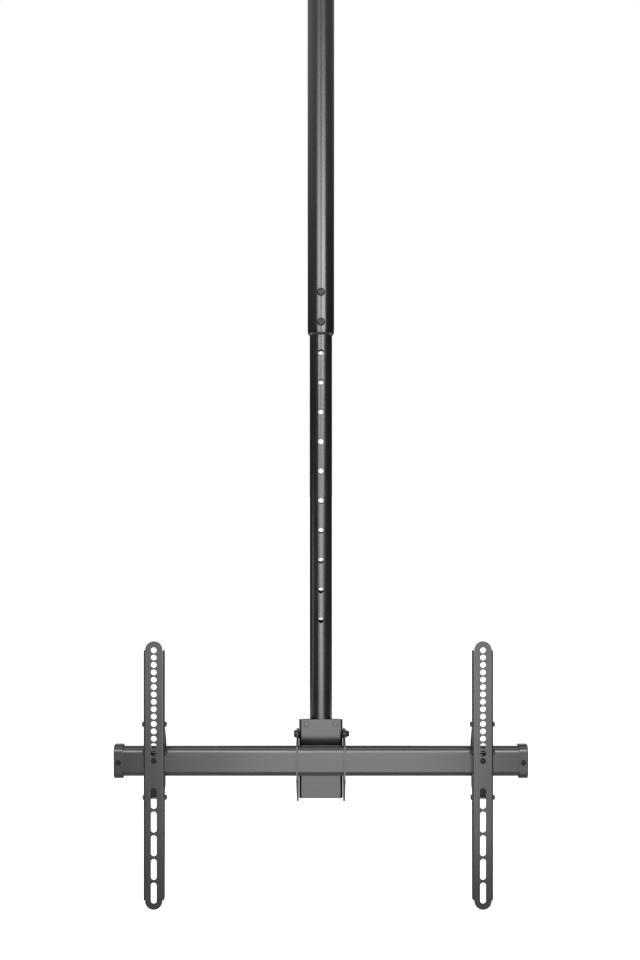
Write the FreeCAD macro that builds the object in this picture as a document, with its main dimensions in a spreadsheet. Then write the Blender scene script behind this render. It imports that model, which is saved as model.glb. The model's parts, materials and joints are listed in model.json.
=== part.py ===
import FreeCAD, Part
import math
import os

import Sketcher

# Telescopic ceiling mount for a television, in millimetres.
# The frame: the ceiling is the plane Z = 0, the pole hangs down the Z axis, the
# cross bar runs along X and the screen would hang on the -Y side.

doc = FreeCAD.newDocument("ceiling_mount")
sheet = doc.addObject("Spreadsheet::Sheet", "Sizes")

# Driving dimensions

SIZES = {
    # ceiling plate and its yoke
    "plate_length": 200,
    "plate_width": 120,
    "plate_thickness": 5,
    "plate_corner": 14,
    "plate_slot_spacing_x": 150,
    "plate_slot_spacing_y": 70,
    "plate_slot_length": 28,
    "plate_slot_width": 9,
    "yoke_wall": 4,
    "yoke_gap": 52,
    "yoke_ear_radius": 21,
    "pivot_drop": 40,
    "pivot_bolt_diameter": 10,
    # turned fits: radial play of what turns or slides, and the gap to a face beside it
    "turning_play": 0.1,
    "face_gap": 0.3,
    # head of the pole
    "washer_thickness": 1,
    "sleeve_diameter": 26,
    "spigot_wall": 4,
    "spigot_rise": 16,
    "spigot_length": 110,
    "shoulder_drop": 27,
    "shoulder_height": 3,
    "groove_drop": 55,
    "groove_depth": 2,
    # telescopic pole
    "outer_diameter": 45,
    "outer_wall": 2,
    "outer_length": 773.2,
    "inner_diameter": 38,
    "inner_wall": 2,
    "inner_length": 866,
    "tube_overlap": 108.5,
    "height_hole_inset": 45,
    "height_hole_pitch": 50,
    "height_hole_count": 12,
    "height_hole_diameter": 9,
    "collar_height": 7.6,
    "collar_sleeve": 25,
    "collar_edge": 1.6,
    "collar_taper": 2.6,
    "collar_groove": 1.2,
    "glide_length": 30,
    "glide_lip": 3,
    "lock_screw_diameter": 8,
    "lock_head_diameter": 13.5,
    "lock_head_height": 4.4,
    # channel that closes the lower end of the pole
    "channel_half_width": 36.5,
    "channel_wall": 3,
    "channel_bend": 4.5,
    "channel_height": 132,
    "channel_overlap": 106,
    "channel_back": 24,
    "channel_corner": 6,
    "channel_slope": 14,
    "saddle_wall": 1.5,
    "saddle_height": 21.5,
    "saddle_rise": 0.5,
    "saddle_rivet_drop": 8.5,
    "saddle_rivet_x": 24,
    "rivet_diameter": 5,
    "rivet_head_diameter": 9.5,
    "rivet_head_height": 0.9,
    "rivet_tail_height": 1.5,
    "tilt_pivot_drop": 29.5,
    "tilt_lock_radius": 45,
    "tilt_bolt_diameter": 6,
    "tilt_head_diameter": 13.4,
    "tilt_head_height": 5.2,
    "tilt_washer_diameter": 15,
    "tilt_washer_thickness": 1.6,
    "cap_nut_flats": 10,
    "cap_nut_hex_height": 2.6,
    "cap_nut_height": 6,
    "spacer_diameter": 14,
    "plug_height": 9,
    # tilting head
    "tilt_up": 5,
    "tilt_down": 15,
    "side_plate_thickness": 3,
    "side_plate_boss": 11.5,
    "side_plate_nose": 5.5,
    "side_plate_foot": 8,
    "side_plate_corner": 7,
    "slot_play": 0.4,
    # cross bar
    "bar_length": 671,
    "bar_height": 49,
    "bar_depth": 20,
    "bar_wall": 2,
    "bar_corner": 9,
    "bar_gap": 17,
    "bar_drop": 31.8,
    "cap_overlap": 10.5,
    "cap_end": 4,
    "cap_rim": 3,
    "cap_dome": 1.4,
    "cap_screw_inset": 4,
    "cap_screw_diameter": 4,
    "cap_screw_head_diameter": 9,
    "cap_screw_head_height": 1.8,
    # arms
    "left_arm_inset": 63.6,
    "right_arm_inset": 71.8,
    "arm_wall": 2,
    "arm_width": 33.6,
    "arm_bend": 2.6,
    "arm_depth": 12,
    "arm_gap": 2,
    "arm_rise": 200.8,
    "arm_fall": 235.9,
    "arm_tongue": 15.5,
    "arm_flange_corner": 3,
    "arm_hole_diameter": 9.4,
    "arm_hole_inset": 14.6,
    "arm_hole_pitch": 12,
    "arm_hole_floor": 4,
    "arm_slot_length": 34.3,
    "arm_slot_inset": 27,
    "arm_slot_pitch": 38.5,
    "arm_slot_roof": 48,
    # hook bracket inside each arm
    "hook_wall": 2.5,
    "hook_finger": 9,
    "hook_catch": 14,
    "hook_rise": 30.6,
    "hook_upper_rivet": 64,
    "hook_cross_bolt": 18.1,
    "hook_lower_bolt": 55.3,
    "hook_bolt_depth": 8,
    "hook_margin": 7,
    "hook_web_top": 8.2,
    "hook_web_bottom": 52.2,
    "hook_lug_gap": 3,
    "hook_lean": 14,
    "hook_brow": 3,
    "hook_setback": 2,
    "hook_corner": 1.4,
    "hook_tab_drop": 11,
    "hook_tab_wall": 3,
    "hook_tab_reach": 20,
    "arm_bolt_diameter": 5,
    "arm_bolt_head_diameter": 8.6,
    "arm_bolt_head_height": 2.4,
    "arm_rivet_head_height": 3.6,
    "arm_nut_flats": 7.6,
    "arm_nut_hex_height": 1.8,
    "arm_nut_height": 3.8,
    "clamp_screw_diameter": 6,
    "clamp_nut_flats": 10,
    "clamp_nut_height": 5,
}


class Dim:
    """A size that knows both its number and its expression in the sheet."""

    def __init__(self, number, text):
        self.number = float(number)
        self.text = text

    def joined(self, other, sign, number):
        return Dim(number, "(%s %s %s)" % (self.text, sign, other.text))

    def __add__(self, other):
        other = dim(other)
        return self.joined(other, "+", self.number + other.number)

    def __sub__(self, other):
        other = dim(other)
        return self.joined(other, "-", self.number - other.number)

    def __mul__(self, other):
        other = dim(other)
        return self.joined(other, "*", self.number * other.number)

    def __truediv__(self, other):
        other = dim(other)
        return self.joined(other, "/", self.number / other.number)

    def __radd__(self, other):
        return dim(other) + self

    def __rsub__(self, other):
        return dim(other) - self

    def __rmul__(self, other):
        return dim(other) * self

    def __neg__(self):
        return dim(0) - self


def dim(value):
    if isinstance(value, Dim):
        return value
    return Dim(value, repr(value))


def sine(angle):
    return Dim(math.sin(math.radians(angle.number)), "sin(%s)" % angle.text)


def cosine(angle):
    return Dim(math.cos(math.radians(angle.number)), "cos(%s)" % angle.text)


def whole(value):
    return Dim(math.floor(value.number), "floor(%s)" % value.text)


def fill_sheet():
    for row, (alias, number) in enumerate(SIZES.items(), start=1):
        sheet.set("A%d" % row, alias.replace("_", " "))
        sheet.set("B%d" % row, str(number))
        sheet.setAlias("B%d" % row, alias)
    doc.recompute()


def size(alias):
    return Dim(SIZES[alias], "Sizes." + alias)


# Drawing helpers

ROLES = {"XY": "XY_Plane", "XZ": "XZ_Plane", "YZ": "YZ_Plane"}
pieces = []


def origin_feature(body, role):
    return [item for item in body.Origin.OriginFeatures if item.Role == role][0]


def bind(item, name, value):
    """Ties a property to the sheet, or sets it where the value is a plain number."""
    if isinstance(value, Dim):
        item.setExpression(name, value.text)
    else:
        setattr(item, name, value)


def bind_place(item, x=0, y=0, z=0, turn=None):
    """Gives a piece its Placement, with each coordinate tied to the sheet."""
    point = FreeCAD.Vector(dim(x).number, dim(y).number, dim(z).number)
    item.Placement = FreeCAD.Placement(point, turn or FreeCAD.Rotation())
    for name, value in zip("xyz", (x, y, z)):
        if isinstance(value, Dim):
            item.setExpression("Placement.Base." + name, value.text)


def new_body(label, kept=True):
    body = doc.addObject("PartDesign::Body", label)
    body.Label = label
    if kept:
        pieces.append(body)
    return body


def new_sketch(body, plane, name, offset=0):
    """A sketch on an origin plane: XY looks down, XZ is the front view, YZ the side view."""
    sketch = body.newObject("Sketcher::SketchObject", name)
    sketch.AttachmentSupport = (origin_feature(body, ROLES[plane]), [""])
    sketch.MapMode = "FlatFace"
    if isinstance(offset, Dim):
        sketch.setExpression("AttachmentOffset.Base.z", offset.text)
    return sketch


def fix_point(sketch, geometry, vertex, x, y):
    """Ties a point of a sketch to its two coordinates."""
    for kind, value, axis in (("DistanceX", dim(x), -2), ("DistanceY", dim(y), -1)):
        if abs(value.number) < 1e-9 and value.text in ("0", "0.0"):
            sketch.addConstraint(Sketcher.Constraint("PointOnObject", geometry, vertex, axis))
        else:
            index = sketch.addConstraint(
                Sketcher.Constraint(kind, -1, 1, geometry, vertex, value.number))
            sketch.setExpression("Constraints[%d]" % index, value.text)


def fix_radius(sketch, geometry, radius):
    radius = dim(radius)
    index = sketch.addConstraint(Sketcher.Constraint("Radius", geometry, radius.number))
    sketch.setExpression("Constraints[%d]" % index, radius.text)


def vector(point):
    return FreeCAD.Vector(dim(point[0]).number, dim(point[1]).number, 0)


def draw_polygon(sketch, points):
    first = sketch.GeometryCount
    count = len(points)
    for index, point in enumerate(points):
        after = points[(index + 1) % count]
        sketch.addGeometry(Part.LineSegment(vector(point), vector(after)), False)
    for index, point in enumerate(points):
        before = first + (index - 1) % count
        sketch.addConstraint(Sketcher.Constraint("Coincident", before, 2, first + index, 1))
        fix_point(sketch, first + index, 1, point[0], point[1])


def draw_rectangle(sketch, left, bottom, right, top):
    draw_polygon(sketch, [(left, bottom), (right, bottom), (right, top), (left, top)])


def draw_circle(sketch, x, y, radius):
    radius = dim(radius)
    circle = Part.Circle(vector((x, y)), FreeCAD.Vector(0, 0, 1), radius.number)
    index = sketch.addGeometry(circle, False)
    fix_point(sketch, index, 3, x, y)
    fix_radius(sketch, index, radius)


def draw_slot(sketch, start, end, radius):
    """A straight slot between two centres, with round ends."""
    radius = dim(radius)
    a = vector(start)
    b = vector(end)
    along = (b - a).normalize()
    side = FreeCAD.Vector(-along.y, along.x, 0) * radius.number
    angle = math.atan2(along.y, along.x)
    quarter = math.pi / 2
    up = FreeCAD.Vector(0, 0, 1)
    first = sketch.GeometryCount
    far_arc = Part.ArcOfCircle(Part.Circle(b, up, radius.number), angle - quarter, angle + quarter)
    near_arc = Part.ArcOfCircle(Part.Circle(a, up, radius.number), angle + quarter, angle + 3 * quarter)
    sketch.addGeometry(far_arc, False)
    sketch.addGeometry(Part.LineSegment(b + side, a + side), False)
    sketch.addGeometry(near_arc, False)
    sketch.addGeometry(Part.LineSegment(a - side, b - side), False)
    for index in range(4):
        after = first + (index + 1) % 4
        sketch.addConstraint(Sketcher.Constraint("Tangent", first + index, 2, after, 1))
    fix_point(sketch, first, 3, end[0], end[1])
    fix_point(sketch, first + 2, 3, start[0], start[1])
    fix_radius(sketch, first, radius)


def draw_rounded_rectangle(sketch, half_width, half_height, radius, x=0, y=0):
    """A rectangle with round corners, centred on (x, y)."""
    x, y, radius = dim(x), dim(y), dim(radius)
    half_width, half_height = dim(half_width), dim(half_height)
    reach_x = half_width - radius
    reach_y = half_height - radius
    centres = [(x + reach_x, y + reach_y), (x - reach_x, y + reach_y),
               (x - reach_x, y - reach_y), (x + reach_x, y - reach_y)]
    first = sketch.GeometryCount
    quarter = math.pi / 2
    up = FreeCAD.Vector(0, 0, 1)
    for corner, centre in enumerate(centres):
        middle = vector(centre)
        start = corner * quarter
        arc = Part.ArcOfCircle(Part.Circle(middle, up, radius.number), start, start + quarter)
        sketch.addGeometry(arc, False)
        next_middle = vector(centres[(corner + 1) % 4])
        leave = start + quarter
        outward = FreeCAD.Vector(math.cos(leave), math.sin(leave), 0) * radius.number
        sketch.addGeometry(Part.LineSegment(middle + outward, next_middle + outward), False)
    for index in range(8):
        after = first + (index + 1) % 8
        sketch.addConstraint(Sketcher.Constraint("Tangent", first + index, 2, after, 1))
    for corner, centre in enumerate(centres):
        fix_point(sketch, first + 2 * corner, 3, centre[0], centre[1])
    fix_radius(sketch, first, radius)


def pad(body, sketch, length, both=False, back=False):
    """Raises a sketch: up its normal, or both ways, or back."""
    feature = body.newObject("PartDesign::Pad", sketch.Name + "_pad")
    feature.Profile = sketch
    feature.SideType = "Symmetric" if both else "One side"
    feature.Reversed = back
    bind(feature, "Length", length)
    return feature


def cut_through(body, sketch):
    """Cuts a sketch right through the body, both ways from its plane."""
    feature = body.newObject("PartDesign::Pocket", sketch.Name + "_cut")
    feature.Profile = sketch
    feature.Type = "ThroughAll"
    feature.SideType = "Symmetric"
    return feature


def cut_onward(body, sketch, back=False):
    """Cuts a sketch from its plane right out of the body on one side."""
    feature = body.newObject("PartDesign::Pocket", sketch.Name + "_cut")
    feature.Profile = sketch
    feature.Type = "ThroughAll"
    feature.Reversed = back
    return feature


def cut(body, sketch, depth, both=False, back=False):
    feature = body.newObject("PartDesign::Pocket", sketch.Name + "_cut")
    feature.Profile = sketch
    feature.SideType = "Symmetric" if both else "One side"
    feature.Reversed = back
    bind(feature, "Length", depth)
    return feature


def revolve(body, sketch):
    """Turns a front-view sketch about the vertical axis."""
    feature = body.newObject("PartDesign::Revolution", sketch.Name + "_turned")
    feature.Profile = sketch
    feature.ReferenceAxis = (sketch, ["V_Axis"])
    feature.Angle = 360
    return feature


def repeat(body, feature, axis, pitch, count, back=False):
    """Repeats a feature along an axis of the body."""
    pattern = body.newObject("PartDesign::LinearPattern", feature.Name + "_row")
    pattern.Originals = [feature]
    pattern.Direction = (origin_feature(body, axis), [""])
    pattern.Mode = "Spacing"
    pattern.Reversed = back
    bind(pattern, "Offset", pitch)
    bind(pattern, "Occurrences", count)
    body.Tip = pattern
    return pattern


def round_edges(body, chosen, radius, name):
    """Rounds the edges of the body's last feature that the given test picks."""
    doc.recompute()
    last = body.Tip
    names = ["Edge%d" % number for number, edge in enumerate(last.Shape.Edges, start=1) if chosen(edge)]
    feature = body.newObject("PartDesign::Fillet", name)
    feature.Base = (last, names)
    bind(feature, "Radius", radius)
    body.Tip = feature
    return feature


def runs_along(edge, axis):
    """Whether an edge is straight and lies along an axis."""
    if edge.Curve.TypeId != "Part::GeomLine":
        return False
    return abs(abs(edge.Curve.Direction.dot(axis)) - 1) < 1e-6


def is_ring_at(edge, radius, z):
    """Whether an edge is a full circle of that radius about the Z axis at that height."""
    if edge.Curve.TypeId != "Part::GeomCircle":
        return False
    centre = edge.Curve.Center
    level = abs(centre.z - dim(z).number) < 1e-4
    return level and abs(edge.Curve.Radius - dim(radius).number) < 1e-4


AXIS_X = FreeCAD.Vector(1, 0, 0)
AXIS_Y = FreeCAD.Vector(0, 1, 0)
AXIS_Z = FreeCAD.Vector(0, 0, 1)
HEAD_LEFT = FreeCAD.Rotation(AXIS_Y, -90)
HEAD_RIGHT = FreeCAD.Rotation(AXIS_Y, 90)
HEAD_FRONT = FreeCAD.Rotation(AXIS_X, 90)
HEAD_DOWN = FreeCAD.Rotation(AXIS_X, 180)


def hexagon(sketch, flats):
    """A hexagon about the sketch's origin, from its distance across flats."""
    corner = flats / math.sqrt(3)
    points = []
    for step in range(6):
        angle = Dim(60 * step, "%d" % (60 * step))
        points.append((corner * cosine(angle), corner * sine(angle)))
    points[0] = (corner, 0)
    points[3] = (-corner, 0)
    draw_polygon(sketch, points)


def make_screw(label, shank, length, head, height, socket, kept=True):
    """A button-head screw: its bearing face is at Z = 0, its head above, its shank below."""
    body = new_body(label, kept)
    profile = new_sketch(body, "XZ", label + "_profile")
    draw_polygon(profile, [(0, -length), (shank / 2, -length), (shank / 2, 0),
                           (head / 2, 0), (head / 2, height), (0, height)])
    revolve(body, profile)
    round_edges(body, lambda edge: is_ring_at(edge, head / 2, height), height * 0.7, label + "_dome")
    recess = new_sketch(body, "XY", label + "_recess", height)
    hexagon(recess, socket)
    cut(body, recess, height * 0.6)
    return body


def make_cap_nut(label, bore, flats, hex_height, height, kept=True):
    """A cap nut: its bearing face is at Z = 0, its closed dome above."""
    body = new_body(label, kept)
    prism = new_sketch(body, "XY", label + "_prism")
    hexagon(prism, flats)
    pad(body, prism, hex_height)
    dome = new_sketch(body, "XY", label + "_cap")
    draw_circle(dome, 0, 0, flats / 2)
    pad(body, dome, height)
    round_edges(body, lambda edge: is_ring_at(edge, flats / 2, height), (height - hex_height) * 0.8,
                label + "_dome")
    hole = new_sketch(body, "XY", label + "_bore")
    draw_circle(hole, 0, 0, bore / 2)
    cut(body, hole, height * 0.6, back=True)
    return body


def make_washer(label, bore, outer, thickness, kept=True):
    """A flat washer lying on Z = 0."""
    body = new_body(label, kept)
    ring = new_sketch(body, "XY", label + "_ring")
    draw_circle(ring, 0, 0, outer / 2)
    draw_circle(ring, 0, 0, bore / 2)
    pad(body, ring, thickness)
    return body


def group(label, members):
    """Several like solids kept as one piece."""
    compound = doc.addObject("Part::Compound", label)
    compound.Label = label
    compound.Links = members
    pieces.append(compound)
    return compound


# Sizes that follow from the driving ones

fill_sheet()

play = size("turning_play")
face_gap = size("face_gap")

plate_bottom = -size("plate_thickness")
pivot_z = plate_bottom - size("pivot_drop")
yoke_outer = size("yoke_gap") / 2 + size("yoke_wall")
pivot_bolt_radius = size("pivot_bolt_diameter") / 2
sleeve_half = size("yoke_gap") / 2 - size("washer_thickness") - play

outer_radius = size("outer_diameter") / 2
outer_bore = outer_radius - size("outer_wall")
spigot_radius = outer_bore - play
shoulder_z = pivot_z - size("shoulder_drop")
outer_top = shoulder_z - size("shoulder_height") - face_gap
outer_bottom = outer_top - size("outer_length")
groove_z = pivot_z - size("groove_drop")

inner_radius = size("inner_diameter") / 2
inner_top = outer_bottom + size("tube_overlap")
inner_bottom = inner_top - size("inner_length")
height_hole_z = inner_top - size("height_hole_inset")
second_hole_z = height_hole_z - size("height_hole_pitch")
lock_radius = size("lock_screw_diameter") / 2

channel_half = size("channel_half_width")
channel_inner = channel_half - size("channel_wall")
channel_web_back = -(inner_radius + face_gap)
channel_front = channel_web_back - size("channel_wall")
channel_top = inner_bottom + size("channel_overlap")
channel_bottom = channel_top - size("channel_height")
channel_back = size("channel_back")
tilt_z = channel_top - size("tilt_pivot_drop")
saddle_top = channel_top + size("saddle_rise")
saddle_rivet_z = saddle_top - size("saddle_rivet_drop")
tilt_lock_z = tilt_z - size("tilt_lock_radius")
tilt_bolt_radius = size("tilt_bolt_diameter") / 2

plate_inner = channel_half + size("washer_thickness")
plate_outer = plate_inner + size("side_plate_thickness")

bar_back = channel_front - size("bar_gap")
bar_front = bar_back - size("bar_depth")
bar_y = bar_back - size("bar_depth") / 2
bar_z = tilt_z - size("bar_drop")
bar_top = bar_z + size("bar_height") / 2
bar_bottom = bar_z - size("bar_height") / 2
nose_y = bar_front - size("side_plate_nose")

arm_back = bar_front - size("arm_gap")
arm_front = arm_back - size("arm_depth")
arm_web_back = arm_front + size("arm_wall")
arm_half = size("arm_width") / 2
arm_top = bar_z + size("arm_rise")
arm_bottom = bar_z - size("arm_fall")
arm_hole_room = size("arm_rise") - size("arm_hole_inset") - size("arm_hole_floor")
arm_hole_count = whole(arm_hole_room / size("arm_hole_pitch")) + 1
arm_slot_room = size("arm_fall") - size("arm_slot_inset") - size("arm_slot_roof")
arm_slot_count = whole(arm_slot_room / size("arm_slot_pitch")) + 1
hook_half = arm_half - size("arm_wall")
hook_bolt_y = arm_front + size("hook_bolt_depth")
hook_rivet_z = bar_z + size("hook_upper_rivet")
hook_cross_z = bar_z + size("hook_cross_bolt")
hook_lower_z = bar_z - size("hook_lower_bolt")
tab_top = bar_bottom - size("hook_tab_drop")


# Ceiling end


def make_ceiling_plate():
    body = new_body("ceiling_plate")
    blank = new_sketch(body, "XY", "plate_blank", plate_bottom)
    draw_rounded_rectangle(blank, size("plate_length") / 2, size("plate_width") / 2, size("plate_corner"))
    pad(body, blank, size("plate_thickness"))
    slots = new_sketch(body, "XY", "plate_slots")
    radius = size("plate_slot_width") / 2
    reach = size("plate_slot_length") / 2 - radius
    for side in (-1, 1):
        for end in (-1, 1):
            x = size("plate_slot_spacing_x") * side / 2
            y = size("plate_slot_spacing_y") * end / 2
            draw_slot(slots, (x - reach, y), (x + reach, y), radius)
    cut_through(body, slots)


def make_yoke():
    """A folded fork welded under the plate, whose two ears carry the pivot bolt."""
    body = new_body("ceiling_yoke")
    wall = size("yoke_wall")
    half = yoke_outer
    ear = size("yoke_ear_radius")
    bottom = pivot_z - ear
    section = new_sketch(body, "XZ", "yoke_section")
    draw_polygon(section, [(-half, bottom), (wall - half, bottom), (wall - half, plate_bottom - wall),
                           (half - wall, plate_bottom - wall), (half - wall, bottom), (half, bottom),
                           (half, plate_bottom), (-half, plate_bottom)])
    pad(body, section, ear * 2, both=True)
    top_z = plate_bottom.number
    round_edges(body, lambda edge: runs_along(edge, AXIS_Y) and abs(edge.CenterOfMass.z - top_z) < 1e-6,
                wall, "yoke_bend")
    low_z = bottom.number
    round_edges(body, lambda edge: runs_along(edge, AXIS_X) and abs(edge.CenterOfMass.z - low_z) < 1e-6,
                ear * 0.95, "yoke_ear_round")
    bore = new_sketch(body, "YZ", "yoke_bore")
    draw_circle(bore, 0, pivot_z, pivot_bolt_radius + play)
    cut_through(body, bore)


def make_pivot_bolt():
    bolt = make_screw("ceiling_pivot_bolt", size("pivot_bolt_diameter"), yoke_outer * 2 + 10,
                      size("pivot_bolt_diameter") * 1.8, size("pivot_bolt_diameter") * 0.55, dim(6))
    bind_place(bolt, -yoke_outer, 0, pivot_z, HEAD_LEFT)
    nut = make_cap_nut("ceiling_pivot_nut", size("pivot_bolt_diameter"), dim(17), dim(8), dim(17))
    bind_place(nut, yoke_outer, 0, pivot_z, HEAD_RIGHT)
    washers = []
    for side, name in ((-1, "left"), (1, "right")):
        washer = make_washer(name + "_pivot_ring", (pivot_bolt_radius + play) * 2, dim(24),
                             size("washer_thickness"), kept=False)
        bind_place(washer, size("yoke_gap") * side / 2, 0, pivot_z, HEAD_RIGHT if side < 0 else HEAD_LEFT)
        washers.append(washer)
    group("pivot_washers", washers)


def make_pole_head():
    """A cross sleeve that turns on the pivot bolt, welded through a spigot tube that the
    outer tube turns on, with a ring groove for the tips of the swivel screws."""
    sleeve = new_body("pivot_sleeve")
    ring = new_sketch(sleeve, "YZ", "sleeve_ring")
    draw_circle(ring, 0, pivot_z, size("sleeve_diameter") / 2)
    draw_circle(ring, 0, pivot_z, pivot_bolt_radius + play)
    pad(sleeve, ring, sleeve_half * 2, both=True)

    spigot = new_body("pole_spigot")
    top = pivot_z + size("spigot_rise")
    bottom = top - size("spigot_length")
    groove_half = lock_radius + face_gap
    groove_radius = spigot_radius - size("groove_depth")
    shoulder_low = shoulder_z - size("shoulder_height")
    bore = spigot_radius - size("spigot_wall")
    wall = new_sketch(spigot, "XZ", "spigot_wall_profile")
    draw_polygon(wall, [(bore, bottom), (spigot_radius, bottom),
                        (spigot_radius, groove_z - groove_half), (groove_radius, groove_z - groove_half),
                        (groove_radius, groove_z + groove_half), (spigot_radius, groove_z + groove_half),
                        (spigot_radius, shoulder_low), (outer_radius, shoulder_low),
                        (outer_radius, shoulder_z), (spigot_radius, shoulder_z),
                        (spigot_radius, top), (bore, top)])
    revolve(spigot, wall)
    cross = new_sketch(spigot, "YZ", "spigot_cross_bore")
    draw_circle(cross, 0, pivot_z, size("sleeve_diameter") / 2)
    cut_through(spigot, cross)


# Telescopic pole


def make_outer_tube():
    body = new_body("outer_tube")
    ring = new_sketch(body, "XY", "outer_ring", outer_bottom)
    draw_circle(ring, 0, 0, outer_radius)
    draw_circle(ring, 0, 0, outer_bore)
    pad(body, ring, outer_top - outer_bottom)
    holes = new_sketch(body, "XZ", "outer_screw_holes")
    for z in (height_hole_z, second_hole_z):
        draw_circle(holes, 0, z, lock_radius)
    cut_onward(body, holes, back=True)
    swivel = new_sketch(body, "YZ", "outer_swivel_holes")
    draw_circle(swivel, 0, groove_z, lock_radius)
    cut_through(body, swivel)


def make_end_collar():
    """A moulded ring that closes the gap between the two tubes and guides the inner one."""
    body = new_body("end_collar")
    bore = inner_radius + play
    top = outer_bottom + size("collar_sleeve")
    bottom = outer_bottom - size("collar_height")
    profile = new_sketch(body, "XZ", "collar_profile")
    taper = size("collar_taper")
    groove = size("collar_groove")
    waist = bottom + taper * 1.6
    draw_polygon(profile, [(bore, bottom), (outer_radius - taper, bottom), (outer_radius, waist),
                           (outer_radius, outer_bottom - groove), (outer_radius - groove, outer_bottom - groove),
                           (outer_radius - groove, outer_bottom), (outer_bore, outer_bottom),
                           (outer_bore, top), (bore, top)])
    revolve(body, profile)
    round_edges(body, lambda edge: is_ring_at(edge, outer_radius, waist), size("collar_edge"), "collar_round")
    hole = new_sketch(body, "XZ", "collar_screw_hole")
    draw_circle(hole, 0, second_hole_z, lock_radius)
    cut_onward(body, hole, back=True)


def make_lock_screws():
    """The height screws in front and the swivel screws near the top of the outer tube."""
    length = size("outer_wall") + outer_bore - inner_radius - face_gap
    for name, z in (("upper_lock_screw", height_hole_z), ("lower_lock_screw", second_hole_z)):
        screw = make_screw(name, size("lock_screw_diameter"), length, size("lock_head_diameter"),
                           size("lock_head_height"), dim(5))
        bind_place(screw, 0, -outer_radius, z, HEAD_FRONT)
    members = []
    swivel_length = size("outer_wall") + size("groove_depth") - face_gap
    for side, name, turn in ((-1, "left", HEAD_LEFT), (1, "right", HEAD_RIGHT)):
        screw = make_screw(name + "_swivel_screw", size("lock_screw_diameter"), swivel_length,
                           size("lock_head_diameter"), size("lock_head_height"), dim(5), kept=False)
        bind_place(screw, outer_radius * side, 0, groove_z, turn)
        members.append(screw)
    group("swivel_screws", members)


def make_inner_tube():
    body = new_body("inner_tube")
    ring = new_sketch(body, "XY", "inner_ring", inner_bottom)
    draw_circle(ring, 0, 0, inner_radius)
    draw_circle(ring, 0, 0, inner_radius - size("inner_wall"))
    pad(body, ring, inner_top - inner_bottom)
    hole = new_sketch(body, "XZ", "height_hole")
    draw_circle(hole, 0, height_hole_z, size("height_hole_diameter") / 2)
    repeat(body, cut_through(body, hole), "Z_Axis", size("height_hole_pitch"),
           size("height_hole_count"), back=True)
    cross = new_sketch(body, "YZ", "tilt_bolt_holes")
    for z in (tilt_z, tilt_lock_z):
        draw_circle(cross, 0, z, tilt_bolt_radius + play)
    cut_through(body, cross)


def make_inner_glide():
    """A moulded ring on the top of the inner tube, which slides in the outer one."""
    body = new_body("inner_glide")
    lip_top = inner_top + size("glide_lip")
    bottom = lip_top - size("glide_length")
    glide_radius = outer_bore - play
    bore = inner_radius - size("inner_wall")
    profile = new_sketch(body, "XZ", "glide_profile")
    draw_polygon(profile, [(inner_radius, bottom), (glide_radius, bottom), (glide_radius, lip_top),
                           (bore, lip_top), (bore, inner_top), (inner_radius, inner_top)])
    revolve(body, profile)


def make_pole_plug():
    body = new_body("pole_plug")
    bore = inner_radius - size("inner_wall")
    lip = inner_bottom - size("inner_wall")
    profile = new_sketch(body, "XZ", "plug_profile")
    draw_polygon(profile, [(0, lip), (inner_radius, lip), (inner_radius, inner_bottom),
                           (bore, inner_bottom), (bore, inner_bottom + size("plug_height")),
                           (bore - 2, inner_bottom + size("plug_height")), (bore - 2, inner_bottom),
                           (0, inner_bottom)])
    revolve(body, profile)


# Channel at the foot of the pole


def slope_corners():
    """The corners of the wedge that slopes the flanges and the strap down towards the back."""
    start = channel_web_back + size("saddle_wall")
    run = channel_back + 1 - start
    low = channel_top - size("channel_slope") * (run / (channel_back - start))
    return [(start, channel_top), (channel_back + 1, low), (channel_back + 1, channel_top + 2),
            (start, channel_top + 2)]


def make_head_channel():
    """A folded channel, its web in front of the pole and its flanges beside it."""
    body = new_body("head_channel")
    wall = size("channel_wall")
    bend = size("channel_bend")
    section = new_sketch(body, "XY", "channel_section", channel_bottom)
    draw_polygon(section, [(-channel_half, channel_front), (channel_half, channel_front),
                           (channel_half, channel_back), (channel_inner, channel_back),
                           (channel_inner, channel_web_back), (-channel_inner, channel_web_back),
                           (-channel_inner, channel_back), (-channel_half, channel_back)])
    pad(body, section, channel_top - channel_bottom)
    front = channel_front.number
    round_edges(body, lambda edge: runs_along(edge, AXIS_Z) and abs(edge.CenterOfMass.y - front) < 1e-6,
                bend, "channel_outer_bend")
    inside = channel_web_back.number
    round_edges(body, lambda edge: runs_along(edge, AXIS_Z) and abs(edge.CenterOfMass.y - inside) < 1e-6,
                bend - wall, "channel_inner_bend")
    back = channel_back.number
    round_edges(body, lambda edge: runs_along(edge, AXIS_X) and abs(edge.CenterOfMass.y - back) < 1e-6,
                size("channel_corner"), "channel_corner_round")
    slope = new_sketch(body, "YZ", "channel_slope_cut")
    draw_polygon(slope, slope_corners())
    cut_through(body, slope)
    bores = new_sketch(body, "YZ", "channel_bolt_holes")
    for z in (tilt_z, tilt_lock_z):
        draw_circle(bores, 0, z, tilt_bolt_radius)
    cut_through(body, bores)
    rivets = new_sketch(body, "XZ", "channel_rivet_holes")
    for side in (-1, 1):
        draw_circle(rivets, size("saddle_rivet_x") * side, saddle_rivet_z, size("rivet_diameter") / 2)
    cut_through(body, rivets)


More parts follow.
